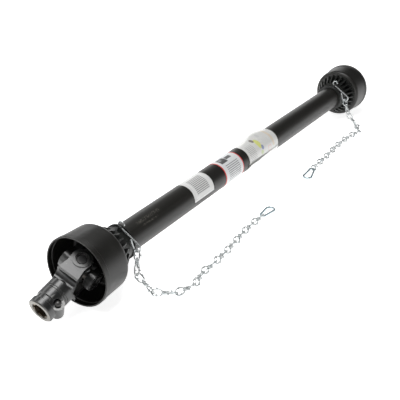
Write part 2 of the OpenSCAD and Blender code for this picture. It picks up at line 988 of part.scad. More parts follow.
// Body of the snap hook in the XY plane, the eye's outer wire at the origin
module snap_body() {
    difference() {
        union() {
            translate([snap_eye, 0, 0])
                wire_bend(snap_eye, snap_wire, 90 + snap_slope, 180 - 2 * snap_slope);
            translate([snap_eye + snap_span, 0, 0])
                wire_bend(snap_end, snap_wire, -90 - snap_slope, 180 + 2 * snap_slope);
            snap_bar(1, wire_lap, snap_side - wire_lap, snap_wire);
            snap_bar(-1, wire_lap, snap_pivot + 1.7, snap_wire);
            snap_bar(-1, 33.4, snap_side - wire_lap, snap_wire);
        }
        translate([snap_eye, 0, 0])
            rotate([0, 0, -snap_slope])
                translate([snap_pivot, -snap_eye, 0]) {
                    translate([-3.2, -5, -1.05])
                        cube([10, 10, 2.1]);
                    cylinder(h = 20, r = 0.85, center = true, $fn = 32);
                }
    }
}

// Sprung gate of the snap hook, with its tongue and rivet
module snap_gate() {
    snap_bar(-1, snap_pivot + 3, 33.1, snap_wire - 0.4);
    translate([snap_eye, 0, 0])
        rotate([0, 0, -snap_slope])
            translate([snap_pivot, -snap_eye, 0]) {
                linear_extrude(height = 2, center = true) {
                    circle(r = 2, $fn = 32);
                    translate([0, -2])
                        square([5, 4]);
                }
                cylinder(h = snap_wire + 0.8, r = 0.8, center = true, $fn = 32);
            }
}

// Frame of a snap hook at the end of a chain
module snap_frame(links, first, yaw) {
    last = links[len(links) - 1];
    translate(chain_end(links, first) - ((chain_wire + snap_wire) / 2 + snap_play) * heading(last))
        rotate([0, 0, yaw])
            rotate([0, -snap_pitch, 0])
                children();
}

// Sector of a thin ring round the guard tube, from angle a0 over angle a
module ring_sector(x0, x1, inside, outside, a0, a) {
    rotate([a0 + 90, 0, 0])
        round_x(a)
            translate([inside, x0])
                square([outside - inside, x1 - x0]);
}

// Loose paper and film wrapped round the guard tube, with a lap
module leaflet() {
    translate([642, 0, 0])
        rotate([90, 0, 90])
            linear_extrude(height = 163)
                difference() {
                    union() {
                        circle(r = guard_radius + 0.7);
                        translate([2.2, 2.6])
                            circle(r = guard_radius - 0.6);
                        rotate(128)
                            translate([0, guard_radius - 5])
                                square([1.2, 6.1]);
                    }
                    circle(r = guard_radius);
                }
}

// Start points of the two chains
near_first = hook_low(lug_x, near_lug_angle) - near_bite * heading(near_links[0]);
far_first = hook_low(shaft_length - lug_x, far_lug_angle) - far_bite * heading(far_links[0]);

module outer_guard_tube() color(tube_black) place()
    guard_tube(tube_seat, outer_guard_end, guard_radius, guard_inside);

module near_cone() color(plastic_black) place()
    cone();

module near_collar() color(plastic_black) place()
    collar(guard_radius, near_lug_angle);

module near_bearing_ring() color(nylon) place()
    bearing_ring();

module near_hook() color(zinc) place()
    placed_hook(lug_x, near_lug_angle);

module near_chain() color(zinc) place()
    chain(near_links, near_first);

module near_snap_hook() color(zinc) place()
    snap_frame(near_links, near_first, near_snap_yaw)
        snap_body();

module near_snap_gate() color(zinc) place()
    snap_frame(near_links, near_first, near_snap_yaw)
        snap_gate();

module plain_sticker() color(paper) place()
    ring_sector(378, 463, guard_radius, guard_radius + sticker_thickness, 45, 140);

module banded_sticker() color(paper) place()
    ring_sector(522, 612, guard_radius, guard_radius + sticker_thickness, 0, 360);

module leaflet_wrap() color(paper) place()
    leaflet();

module outer_profile_tube() color(steel_bare) place()
    near_inner_frame()
        profile_tube(
            tube_shoulder,
            outer_profile_end - joint_inset,
            profile_corner,
            outer_profile_wall,
            fork_depth + 7
        );

module near_inner_yoke() color(paint_black) place()
    near_inner_frame()
        inner_yoke(profile_corner);

module near_roll_pin() color(steel_bare) place()
    near_inner_frame()
        roll_pin();

module near_inner_caps() color(steel_bare) place()
    near_inner_frame()
        rotate([90, 0, 0])
            cap_pair();

module near_inner_rings() color(steel_bare) place()
    near_inner_frame()
        rotate([90, 0, 0])
            circlip_pair();

module near_cross() color(steel_bare) place()
    near_cross_frame()
        cross();

module near_nipple() color(zinc) place()
    near_cross_frame()
        nipple();

module near_outer_yoke() color(paint_black) place()
    near_outer_frame()
        outer_yoke();

module near_outer_caps() color(steel_bare) place()
    near_outer_frame()
        cap_pair();

module near_outer_rings() color(steel_bare) place()
    near_outer_frame()
        circlip_pair();

module near_push_pin() color(steel_bare) place()
    near_outer_frame()
        push_pin();

module near_pin_spring() color(steel_bare) place()
    near_outer_frame()
        pin_spring();

module inner_profile_tube() color(steel_bare) place()
    far_inner_frame()
        rotate([0, 0, 180])
            profile_tube(
                tube_shoulder,
                shaft_length - joint_inset - inner_profile_end,
                profile_corner - outer_profile_wall - profile_clearance,
                inner_profile_wall,
                fork_depth + 7
            );

module far_inner_yoke() color(paint_black) place()
    far_inner_frame()
        rotate([0, 0, 180])
            inner_yoke(profile_corner - outer_profile_wall - profile_clearance);

module far_roll_pin() color(steel_bare) place()
    far_inner_frame()
        rotate([0, 0, 180])
            roll_pin();

module far_inner_caps() color(steel_bare) place()
    far_inner_frame()
        rotate([90, 0, 0])
            cap_pair();

module far_inner_rings() color(steel_bare) place()
    far_inner_frame()
        rotate([90, 0, 0])
            circlip_pair();

module far_cross() color(steel_bare) place()
    far_cross_frame()
        cross();

module far_nipple() color(zinc) place()
    far_cross_frame()
        nipple();

module far_outer_yoke() color(paint_black) place()
    far_outer_frame()
        outer_yoke();

module far_outer_caps() color(steel_bare) place()
    far_outer_frame()
        cap_pair();

module far_outer_rings() color(steel_bare) place()
    far_outer_frame()
        circlip_pair();

module far_push_pin() color(steel_bare) place()
    far_outer_frame()
        push_pin();

module far_pin_spring() color(steel_bare) place()
    far_outer_frame()
        pin_spring();

module inner_guard_tube() color(tube_black) place()
    guard_tube(
        inner_guard_end,
        shaft_length - tube_seat,
        inner_guard_radius,
        inner_guard_inside
    );

module far_cone() color(plastic_black) place()
    far_side()
        cone();

module far_collar() color(plastic_black) place()
    far_side()
        collar(inner_guard_radius, 180 - far_lug_angle);

module far_bearing_ring() color(nylon) place()
    far_side()
        bearing_ring();

module far_hook() color(zinc) place()
    placed_hook(shaft_length - lug_x, far_lug_angle);

module far_chain() color(zinc) place()
    chain(far_links, far_first);

module far_snap_hook() color(zinc) place()
    snap_frame(far_links, far_first, far_snap_yaw)
        snap_body();

module far_snap_gate() color(zinc) place()
    snap_frame(far_links, far_first, far_snap_yaw)
        snap_gate();

outer_guard_tube();
near_cone();
near_collar();
near_bearing_ring();
near_hook();
near_chain();
near_snap_hook();
near_snap_gate();
plain_sticker();
banded_sticker();
leaflet_wrap();
outer_profile_tube();
near_inner_yoke();
near_roll_pin();
near_inner_caps();
near_inner_rings();
near_cross();
near_nipple();
near_outer_yoke();
near_outer_caps();
near_outer_rings();
near_push_pin();
near_pin_spring();
inner_profile_tube();
far_inner_yoke();
far_roll_pin();
far_inner_caps();
far_inner_rings();
far_cross();
far_nipple();
far_outer_yoke();
far_outer_caps();
far_outer_rings();
far_push_pin();
far_pin_spring();
inner_guard_tube();
far_cone();
far_collar();
far_bearing_ring();
far_hook();
far_chain();
far_snap_hook();
far_snap_gate();
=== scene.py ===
import json
import math

import bmesh
import bpy
import numpy as np
from mathutils import Euler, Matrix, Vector, noise


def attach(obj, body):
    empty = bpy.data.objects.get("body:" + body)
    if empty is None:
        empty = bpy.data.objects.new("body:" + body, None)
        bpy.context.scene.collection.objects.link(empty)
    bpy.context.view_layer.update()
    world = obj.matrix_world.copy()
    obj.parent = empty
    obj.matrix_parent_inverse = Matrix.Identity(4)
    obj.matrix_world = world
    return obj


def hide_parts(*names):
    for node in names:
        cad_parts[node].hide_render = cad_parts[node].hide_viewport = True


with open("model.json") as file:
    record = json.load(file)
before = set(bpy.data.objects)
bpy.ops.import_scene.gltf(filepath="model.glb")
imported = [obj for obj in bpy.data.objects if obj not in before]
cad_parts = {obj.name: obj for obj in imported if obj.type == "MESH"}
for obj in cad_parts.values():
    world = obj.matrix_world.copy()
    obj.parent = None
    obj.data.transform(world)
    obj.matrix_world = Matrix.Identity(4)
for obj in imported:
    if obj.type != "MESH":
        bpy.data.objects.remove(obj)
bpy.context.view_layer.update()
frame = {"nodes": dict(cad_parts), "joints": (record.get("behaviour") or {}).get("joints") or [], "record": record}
cad = frame["nodes"]

# Places and ways that the frame gives: the crosses, their pins, the splined hubs, the push pins
joints = {joint["name"]: joint for joint in frame["joints"]}
mounts = {mount["name"]: mount for mount in frame["record"]["mounts"]}
AXIS = Vector(joints["shaft_spin"]["pos_m"])
CROSS = {end: Vector(joints[end + "_yoke_hinge"]["pos_m"]) for end in ("near", "far")}
INNER_PIN = {end: Vector(joints[end + "_cross_hinge"]["axis"]).normalized() for end in CROSS}
OUTER_PIN = {end: Vector(joints[end + "_yoke_hinge"]["axis"]).normalized() for end in CROSS}
HUB = {end: Vector(mounts[end + "_spline"]["axis"]).normalized() for end in CROSS}
BUTTON = {
    end: sum((Vector(corner) for corner in cad[end + "_push_pin"].bound_box), Vector()) / 8
    for end in CROSS
}
BUTTON_WAY = {end: Vector(joints[end + "_push_button"]["axis"]).normalized() for end in CROSS}
TUBE_RADIUS = 0.0335
TUBE_RADIUS_MM = 33.5
LABEL_RADIUS_MM = 33.8
PAPER_THICKNESS = 0.0002
FLOOR_HALF = 7
# An outer yoke's bore and end face, and an inner yoke's bearing groove, from the cross
BORE_RADIUS, BORE_START, HUB_END = 0.0179, 0.030, 0.1188
GROOVE, GROOVE_RADIUS = (0.0700, 0.0780), 0.0338
# The raised rim and the pressed ring on the face of a bearing cap
CAP_RIM, CAP_RING = (0.0122, 0.0131), (0.0096, 0.0104)
SCENE = bpy.context.scene


# Camera, at the photograph's angle

camera = bpy.data.objects.new("camera", bpy.data.cameras.new("camera"))
camera.data.lens = 63.5
camera.data.sensor_width = 36
camera.data.clip_start = 0.02
camera.location = (-1.54335, -0.78391, 0.82802)
camera.rotation_euler = Euler((math.radians(90) - 0.47058, 0, 0.56555 - math.radians(90)))
SCENE.collection.objects.link(camera)
SCENE.camera = camera


# Materials


class Socket:
    """A shader value. Its operators add Math nodes."""

    def __init__(self, finish, out):
        self.finish, self.out = finish, out

    def math(self, operation, *others, clamp=False):
        values = dict(enumerate((self,) + others))
        return self.finish.node(
            "ShaderNodeMath", {"operation": operation, "use_clamp": clamp}, values
        )

    def __add__(self, other):
        return self.math("ADD", other)

    def __sub__(self, other):
        return self.math("SUBTRACT", other)

    def __rsub__(self, other):
        return self.finish.node("ShaderNodeMath", {"operation": "SUBTRACT"}, {0: other, 1: self})

    def __mul__(self, other):
        return self.math("MULTIPLY", other)

    def __truediv__(self, other):
        return self.math("DIVIDE", other)

    __radd__ = __add__
    __rmul__ = __mul__

    def power(self, exponent):
        return self.math("POWER", exponent)

    def limited(self):
        return self.math("ADD", 0.0, clamp=True)

    def either(self, other):
        return self.math("MAXIMUM", other)

    def ramp(self, low, high):
        """0 below low and 1 above high, or the other way round where low is the larger."""
        first, last, reverse = (low, high, False) if low < high else (high, low, True)
        ends = {1: first, 2: last, 3: 1.0 if reverse else 0.0, 4: 0.0 if reverse else 1.0}
        return self.finish.node(
            "ShaderNodeMapRange", {"interpolation_type": "SMOOTHSTEP"}, {0: self, **ends}
        )

    def within(self, low, high, soft):
        return self.ramp(low - soft, low + soft) * self.ramp(high + soft, high - soft)


def patch(along, turn, ends, sides, soft):
    """1 in a field between two places along the tube and two places round it."""
    return along.within(*ends, soft) * turn.within(*sides, soft)


class Finish:
    """One procedural material on Object coordinates."""

    def __init__(self, name, roughness=0.5, metallic=0.0, **constants):
        self.material = bpy.data.materials.new(name)
        self.material.use_nodes = True
        self.tree = self.material.node_tree
        self.shader = self.tree.nodes["Principled BSDF"]
        self.shader.inputs["Roughness"].default_value = roughness
        self.shader.inputs["Metallic"].default_value = metallic
        for socket, value in constants.items():
            self.shader.inputs[socket.replace("_", " ")].default_value = value
        self.point = self.node("ShaderNodeTexCoord", out="Object")

    def node(self, kind, settings=None, values=None, out=0):
        """Any node: its type, then its settings, then the values or links of its sockets."""
        made = self.tree.nodes.new(kind)
        for setting, value in (settings or {}).items():
            setattr(made, setting, value)
        for socket, value in (values or {}).items():
            if isinstance(value, Socket):
                self.tree.links.new(value.out, made.inputs[socket])
            else:
                made.inputs[socket].default_value = value
        return Socket(self, made.outputs[out])

    def vector(self, operation, *values, out=0):
        sockets = dict(enumerate(values))
        return self.node("ShaderNodeVectorMath", {"operation": operation}, sockets, out)

    def axes(self, point=None):
        parts = self.node("ShaderNodeSeparateXYZ", values={0: point or self.point})
        outs = parts.out.node.outputs
        return [Socket(self, outs[i]) for i in range(3)]

    def grain(self, size, detail=3.0, stretch=(1, 1, 1), roughness=0.5, point=None, shift=0.0):
        """Noise from 0 to 1 with blotches of about the given size in metres."""
        placed = self.node(
            "ShaderNodeMapping",
            {"vector_type": "POINT"},
            {
                "Vector": point or self.point,
                "Location": (shift, shift, shift),
                "Scale": tuple(s / size for s in stretch),
            },
        )
        return self.node(
            "ShaderNodeTexNoise",
            values={"Vector": placed, "Scale": 1.0, "Detail": detail, "Roughness": roughness},
        )

    def mix(self, one, other, share):
        """From colour one to colour other by share."""
        full = [c if isinstance(c, Socket) else (*c, 1) for c in (one, other)]
        return self.node(
            "ShaderNodeMix",
            {"data_type": "RGBA"},
            {"Factor": share, 6: full[0], 7: full[1]},
            out=2,
        )

    def edges(self, width):
        """1 on edges that stand out and 0 on flat places."""
        turned = self.node("ShaderNodeBevel", {"samples": 6}, {"Radius": width})
        flat = self.node("ShaderNodeNewGeometry", out="Normal")
        return 1 - self.vector("DOT_PRODUCT", turned, flat, out="Value")

    def colour(self, value):
        self.put("Base Color", value)

    def put(self, socket, value):
        if isinstance(value, Socket):
            self.tree.links.new(value.out, self.shader.inputs[socket])
        else:
            self.shader.inputs[socket].default_value = value

    def bump(self, height, distance, strength=1.0):
        """Bumps of the given height in metres where height is 1."""
        self.put(
            "Normal",
            self.node(
                "ShaderNodeBump",
                values={"Height": height, "Distance": distance, "Strength": strength},
            ),
        )

    def round_axis(self, centre, along):
        """Distance along an axis from its centre, and distance from the axis, in metres."""
        moved = self.vector("SUBTRACT", self.point, tuple(centre))
        length = self.vector("DOT_PRODUCT", moved, tuple(along), out="Value")
        whole = self.vector("LENGTH", moved, out="Value")
        return length, (whole * whole - length * length).either(0.0).math("SQRT")


def tube_black():
    f = Finish("black_guard_tube", roughness=0.40, Specular_IOR_Level=0.45)
    x, y, z = f.axes()
    turn = (z - AXIS.z).math("ARCTAN2", y - AXIS.y)
    # Fine lines left by the extruder's mouth run along the tube
    values = {0: x * 0.4, 1: turn * TUBE_RADIUS, 2: 0.0}
    round_and_along = f.node("ShaderNodeCombineXYZ", values=values)
    lines = f.grain(0.0007, 2, (0.02, 1, 1), point=round_and_along)
    wide = f.grain(0.006, 3, (0.03, 1, 1), point=round_and_along)
    clouds = f.grain(0.06, 4)
    dust = f.grain(0.004, 5, (0.4, 1, 1)).ramp(0.56, 0.80)
    base = f.mix((0.0105, 0.0100, 0.0085), (0.0160, 0.0152, 0.0132), clouds)
    base = f.mix(base, (0.026, 0.025, 0.022), wide.ramp(0.45, 0.75) * 0.35)
    # Scuffs from handling, in short strokes
    strokes = f.grain(0.011, 4, (0.12, 1.6, 1.6), 0.6).ramp(0.63, 0.74)
    base = f.mix(base, (0.060, 0.059, 0.054), strokes * 0.22 + dust * 0.08)
    # Two faint rows of specks near the near end, where a maker would print
    along, side = x * 1000, (z - AXIS.z).math("ARCTAN2", AXIS.y - y) * TUBE_RADIUS_MM
    tall = patch(along, side, (-512, -432), (33, 41), 0.5)
    low = patch(along, side, (-500, -445), (24, 28), 0.5)
    specks = f.grain(0.0022, 1, shift=4.0).ramp(0.52, 0.60)
    f.colour(f.mix(base, (0.17, 0.165, 0.14), (tall.either(low) * specks * 0.6).limited()))
    f.put("Roughness", 0.32 + wide * 0.10 + dust * 0.10 + strokes * 0.10)
    f.bump(lines * 0.5 + wide * 0.5, 0.00012, 0.6)
    return f.material


def moulded_black(name, tint, wear_and_edge_highlight, sheen):
    """Black moulded plastic of the cones and collars."""
    f = Finish(name, roughness=sheen)
    spark = f.grain(0.0009, 2)
    clouds = f.grain(0.05, 4)
    flow = f.grain(0.03, 3, (1, 0.3, 0.3), shift=3.0)
    edge = f.edges(0.0012).ramp(0.03, 0.30)
    strokes = f.grain(0.010, 4, (0.25, 1.4, 1.4), 0.6).ramp(0.64, 0.74)
    dust = f.grain(0.02, 5, shift=8.0).ramp(0.5, 0.85)
    base = f.mix(tint, tuple(c * 1.5 for c in tint), clouds)
    # Edges lighter all round: partly scuffed plastic, partly a painted edge highlight
    base = f.mix(base, wear_and_edge_highlight, edge * 0.55)
    f.colour(f.mix(base, wear_and_edge_highlight, strokes * 0.22 + dust * 0.15))
    f.put("Roughness", sheen + flow * 0.10 - 0.05 + dust * 0.08 + spark * 0.04)
    f.bump(spark * 0.7 + flow * 0.3, 0.00010, 0.5)
    return f.material


def yoke_black(name, centre, along, pin_place, pin_way):
    """Satin black paint on a forged yoke, bare in its bore and on its end face. Its edges are lighter in patches,
    partly from paint wear and partly as painted edge highlights, and the face of the push pin's boss carries a
    painted highlight."""
    f = Finish(name, roughness=0.26, Specular_IOR_Level=1.0)
    length, radius = f.round_axis(centre, along)
    pitted = f.grain(0.0022, 3)
    hammer = f.grain(0.011, 3)
    clouds = f.grain(0.03, 4)
    edge = f.edges(0.0016)
    wear_and_edge_highlight = (edge.ramp(0.03, 0.18) * f.grain(0.006, 4).ramp(0.22, 0.52)).limited()
    chips = f.grain(0.0035, 4, shift=5.0).ramp(0.68, 0.72)
    chips = chips * f.grain(0.03, 2, shift=2.0).ramp(0.4, 0.7)
    base = f.mix((0.0070, 0.0074, 0.0072), (0.0130, 0.0136, 0.0130), clouds)
    # Edges lighter in patches: partly paint wear, partly painted edge highlights
    base = f.mix(base, (0.150, 0.152, 0.147), wear_and_edge_highlight * 0.85)
    base = f.mix(base, (0.16, 0.155, 0.145), chips * 0.5)
    # Painted highlight: the boss's flat face round the push pin is made lighter, in patches
    _, from_pin = f.round_axis(pin_place, pin_way)
    facing = f.vector(
        "DOT_PRODUCT", f.node("ShaderNodeTexCoord", out="Normal"), tuple(pin_way), out="Value"
    )
    boss_face_highlight = facing.math("ABSOLUTE").ramp(0.95, 0.985) * from_pin.within(0.0072, 0.0165, 0.0006)
    boss_face_highlight = (boss_face_highlight * f.grain(0.005, 3, shift=1.0).ramp(0.15, 0.45)).limited()
    base = f.mix(base, (0.26, 0.262, 0.25), boss_face_highlight * 0.9)
    # The bore and the turned end face carry no paint, only a film of oil
    bore = radius.ramp(BORE_RADIUS, BORE_RADIUS - 0.00015)
    bore = bore * length.ramp(BORE_START, BORE_START + 0.002)
    face = length.ramp(HUB_END - 0.0005, HUB_END) * radius.ramp(0.0262, 0.0258)
    bare = bore.either(face)
    turned = f.node("ShaderNodeCombineXYZ", values={0: length, 1: radius, 2: 0.0})
    rings = f.grain(0.0005, 2, (1, 1, 0), point=turned)
    oil = f.grain(0.012, 4, shift=4.0)
    brown = (bore * 0.55 + oil.ramp(0.35, 0.75) * 0.6).limited()
    steel = f.mix((0.36, 0.34, 0.30), (0.17, 0.13, 0.085), brown)
    steel = f.mix(steel, (0.19, 0.19, 0.18), face * (0.85 - rings.ramp(0.4, 0.6) * 0.3))
    f.colour(f.mix(base, steel, bare))
    f.put("Metallic", bare * 0.9)
    painted = 0.22 + clouds * 0.08 + pitted * 0.08 + wear_and_edge_highlight * 0.08
    f.put("Roughness", painted * (1 - bare) + bare * (0.30 + oil * 0.15))
    f.bump((pitted * 0.35 + hammer * 0.65) * (1 - bare) + rings * bare * 0.08, 0.00035, 0.5)
    return f.material


def inner_yoke_black(name, centre, side):
    """Paint on an inner yoke, with the turned groove of the bearing ring bare."""
    f = Finish(name, roughness=0.26, Specular_IOR_Level=1.0)
    length, radius = f.round_axis(centre, (side, 0, 0))
    pitted = f.grain(0.0022, 3)
    hammer = f.grain(0.011, 3)
    clouds = f.grain(0.03, 4)
    wear_and_edge_highlight = (f.edges(0.0016).ramp(0.04, 0.22) * f.grain(0.006, 4).ramp(0.30, 0.62)).limited()
    groove = length.within(*GROOVE, 0.0002) * radius.ramp(GROOVE_RADIUS, GROOVE_RADIUS - 0.0003)
    base = f.mix((0.0080, 0.0085, 0.0082), (0.0150, 0.0156, 0.0150), clouds)
    # Edges lighter in patches: partly paint wear, partly painted edge highlights
    base = f.mix(base, (0.130, 0.132, 0.128), wear_and_edge_highlight * 0.85)
    grease = f.grain(0.008, 4, shift=2.0)
    steel = f.mix((0.34, 0.33, 0.31), (0.24, 0.19, 0.10), grease.ramp(0.35, 0.7))
    f.colour(f.mix(base, steel, groove))
    f.put("Metallic", groove * 0.85)
    f.put("Roughness", 0.23 + clouds * 0.10 + pitted * 0.08)
    f.bump(pitted * 0.35 + hammer * 0.65, 0.00035, 0.5)
    return f.material


def cap_black(name, centre, pin):
    """Pressed bearing cap under a coat of paint, its edges lighter from wear, its rim lighter as a painted
    highlight and its pressed ring darker as painted shade.
    """
    f = Finish(name, roughness=0.26, Specular_IOR_Level=1.0)
    length, radius = f.round_axis(centre, pin)
    clouds = f.grain(0.012, 4)
    fine = f.grain(0.0010, 3)
    rim = radius.within(*CAP_RIM, 0.0003)
    pressed = radius.within(*CAP_RING, 0.0003)
    # The rim joins the edges as a painted highlight ring; the edges themselves show paint wear
    edge = f.edges(0.0010).ramp(0.03, 0.25).either(rim * 0.9)
    edge_wear_and_rim_highlight = (edge * f.grain(0.004, 3).ramp(0.25, 0.60)).limited()
    base = f.mix((0.0085, 0.0090, 0.0090), (0.0170, 0.0174, 0.0172), clouds)
    # Painted shade: the pressed ring is darkened
    base = f.mix(base, (0.0030, 0.0030, 0.0030), pressed * 0.8)
    f.colour(f.mix(base, (0.13, 0.13, 0.125), edge_wear_and_rim_highlight))
    f.put("Metallic", edge_wear_and_rim_highlight * 0.6)
    f.put("Roughness", 0.22 + clouds * 0.12 + fine * 0.06 + pressed * 0.5)
    f.bump(fine * 0.05 + rim - pressed * 1.6, 0.0006, 0.9)
    return f.material


def spring_steel():
    """Phosphated snap rings and roll pins."""
    f = Finish("phosphated_spring_steel", roughness=0.4, metallic=0.75)
    fine = f.grain(0.0008, 3)
    clouds = f.grain(0.008, 4)
    bright = f.edges(0.0006).ramp(0.05, 0.3)
    base = f.mix((0.075, 0.075, 0.075), (0.13, 0.125, 0.12), clouds)
    f.colour(f.mix(base, (0.38, 0.37, 0.35), bright))
    f.put("Roughness", 0.34 + clouds * 0.16)
    f.bump(fine, 0.00006, 0.5)
    return f.material


def oiled_steel():
    """Drawn or machined steel with an oil film, brown where the oil has aged."""
    f = Finish("oiled_steel", roughness=0.35, metallic=0.9)
    lines = f.grain(0.0006, 2, (0.03, 1, 1))
    scale = f.grain(0.010, 5, (0.5, 1, 1))
    stain = f.grain(0.03, 4, shift=6.0).ramp(0.42, 0.72)
    base = f.mix((0.22, 0.215, 0.21), (0.36, 0.35, 0.34), scale)
    f.colour(f.mix(base, (0.15, 0.105, 0.06), stain * 0.55))
    f.put("Metallic", 0.92 - stain * 0.3)
    f.put("Roughness", 0.26 + scale * 0.16 + stain * 0.14)
    f.bump(lines * 0.4 + scale * 0.6, 0.00008, 0.5)
    return f.material


def zinc(name, low, high, blue):
    """Bright zinc plate, bluish, with milky patches."""
    f = Finish(name, roughness=0.25, metallic=1.0)
    patches = f.grain(0.007, 4)
    milky = f.grain(0.0025, 4, shift=3.0).ramp(0.45, 0.8)
    drawn = f.grain(0.0006, 2)
    base = f.mix(low, high, patches.ramp(0.3, 0.7))
    base = f.mix(base, blue, f.grain(0.012, 3, shift=7.0).ramp(0.45, 0.75) * 0.5)
    f.colour(f.mix(base, (0.62, 0.63, 0.63), milky * 0.35))
    f.put("Roughness", 0.24 + milky * 0.18 + drawn * 0.06)
    f.put("Metallic", 0.74 - milky * 0.20)
    f.bump(drawn * 0.6 + milky * 0.4, 0.00005, 0.5)
    return f.material


def natural_nylon():
    f = Finish("natural_nylon", roughness=0.42, Subsurface_Weight=0.15)
    f.shader.inputs["Subsurface Radius"].default_value = (0.004, 0.003, 0.002)
    clouds = f.grain(0.02, 4)
    smear = f.grain(0.012, 4, (0.5, 1, 1), shift=4.0).ramp(0.5, 0.8)
    fine = f.grain(0.0008, 2)
    base = f.mix((0.72, 0.69, 0.60), (0.80, 0.78, 0.71), clouds)
    f.colour(f.mix(base, (0.30, 0.25, 0.16), smear * 0.4))
    f.put("Roughness", 0.36 + clouds * 0.1 + smear * 0.1)
    f.bump(fine, 0.00006, 0.5)
    return f.material


def label_place(f):
    """Millimetres along the shaft from its middle, and round the tube from the side to the top."""
    x, y, z = f.axes()
    along = x * 1000
    turn = (z - AXIS.z).math("ARCTAN2", AXIS.y - y)
    return along, turn * LABEL_RADIUS_MM


def printed(f, paper, inks, sheen=0.34):
    """Coloured fields printed on a film, each one a mask and a colour."""
    fibre = f.grain(0.0012, 4)
    clouds = f.grain(0.02, 4, shift=5.0)
    colour = f.mix(paper, tuple(c * 0.93 for c in paper), clouds)
    for mask, ink in inks:
        colour = f.mix(colour, ink, (mask * (0.90 + fibre * 0.10)).limited())
    grime = f.grain(0.03, 5, (0.6, 1, 1), shift=9.0).ramp(0.58, 0.85)
    f.colour(f.mix(colour, (0.42, 0.41, 0.38), grime * 0.12))
    f.put("Roughness", sheen + clouds * 0.10 + fibre * 0.06)
    f.bump(fibre * 0.4 + clouds * 0.6, 0.00006, 0.6)
    return f.material


def plain_label():
    """White sticker with a pale grey field and a thin frame."""
    f = Finish("plain_label_film", roughness=0.36)
    along, turn = label_place(f)
    field = patch(along, turn, (-298, -242), (10, 60), 0.4)
    outside = patch(along, turn, (-307, -230), (2, 74), 0.3)
    frame_line = outside - patch(along, turn, (-306, -231), (3, 73), 0.3)
    lines = turn.math("PINGPONG", 2.3).within(0.0, 1.0, 0.25)
    rows = lines * along.within(-296, -244, 0.4) * turn.within(12, 58, 0.5)
    return printed(
        f,
        (0.82, 0.82, 0.81),
        [
            (field * 0.25, (0.55, 0.55, 0.55)),
            (rows * 0.85, (0.13, 0.13, 0.135)),
            (frame_line * 0.4, (0.35, 0.35, 0.35)),
        ],
    )


def banded_label():
    """White wrap with a red band at each end, a dark field and rows of grey bars."""
    f = Finish("banded_label_film", roughness=0.32)
    along, turn = label_place(f)
    red = along.ramp(-164.2, -164.6).either(along.ramp(-81.8, -81.4))
    block = patch(along, turn, (-154, -126), (40, 62), 0.8)
    window = patch(along, turn, (-149, -140), (50, 58), 0.5)
    bar = patch(along, turn, (-124, -100), (46, 57), 0.6)
    lines = turn.math("PINGPONG", 2.6).within(0.0, 0.95, 0.25)
    rows = lines * patch(along, turn, (-150, -94), (-14, 35), 0.5)
    return printed(
        f,
        (0.80, 0.81, 0.82),
        [
            (block * 0.95, (0.018, 0.019, 0.020)),
            (window * 0.8, (0.45, 0.46, 0.47)),
            (bar * 0.9, (0.035, 0.036, 0.038)),
            (rows * 0.9, (0.11, 0.115, 0.12)),
            (red, (0.70, 0.030, 0.022)),
        ],
    )


def leaflet_paper():
    """Printed paper in clear film: soft fields of colour and pale rows."""
    f = Finish("leaflet_in_film", roughness=0.22, Coat_Weight=0.35, Coat_Roughness=0.12)
    along, turn = label_place(f)

    def spot(x, t, wide, tall):
        away = ((along - x) / wide).power(2.0) + ((turn - t) / tall).power(2.0)
        return away.ramp(1.05, 0.95)

    tan = along.within(84, 94, 0.5) * turn.within(4, 78, 0.8)
    lines = turn.math("PINGPONG", 2.2).within(0.0, 0.7, 0.25)
    rows = lines * patch(along, turn, (-38, -4), (-8, 44), 0.5)
    tile = patch(along, turn, (58, 74), (-4, 12), 0.5)
    hollow = patch(along, turn, (60, 72), (-2, 10), 0.5)
    return printed(
        f,
        (0.80, 0.80, 0.78),
        [
            (rows * 0.7, (0.28, 0.28, 0.28)),
            (tan * 0.6, (0.80, 0.66, 0.46)),
            (spot(22, 34, 9, 16) * 0.9, (0.78, 0.80, 0.20)),
            (spot(12, 50, 6, 8) * 0.9, (0.20, 0.17, 0.14)),
            (spot(31, 18, 6, 7) * 0.8, (0.20, 0.26, 0.50)),
            (spot(24, 6, 7, 6) * 0.7, (0.55, 0.66, 0.28)),
            ((tile - hollow) * 0.6, (0.85, 0.42, 0.40)),
            (spot(50, 54, 6, 7) * 0.4, (0.55, 0.56, 0.58)),
        ],
        sheen=0.18,
    )


TUBE = tube_black()
CONE = moulded_black(
    "black_cone_plastic", tint=(0.0088, 0.0085, 0.0074), wear_and_edge_highlight=(0.050, 0.049, 0.045), sheen=0.36
)
COLLAR = moulded_black(
    "black_collar_plastic", tint=(0.0100, 0.0110, 0.0100), wear_and_edge_highlight=(0.060, 0.063, 0.058), sheen=0.34
)
SPRING_STEEL = spring_steel()
OILED = oiled_steel()
ZINC = zinc("bright_zinc", (0.50, 0.52, 0.52), (0.70, 0.72, 0.72), (0.44, 0.52, 0.55))
BLUE_ZINC = zinc("blue_zinc", (0.34, 0.43, 0.46), (0.56, 0.65, 0.68), (0.16, 0.32, 0.40))
NYLON = natural_nylon()
PLAIN_LABEL = plain_label()
BANDED_LABEL = banded_label()
LEAFLET = leaflet_paper()

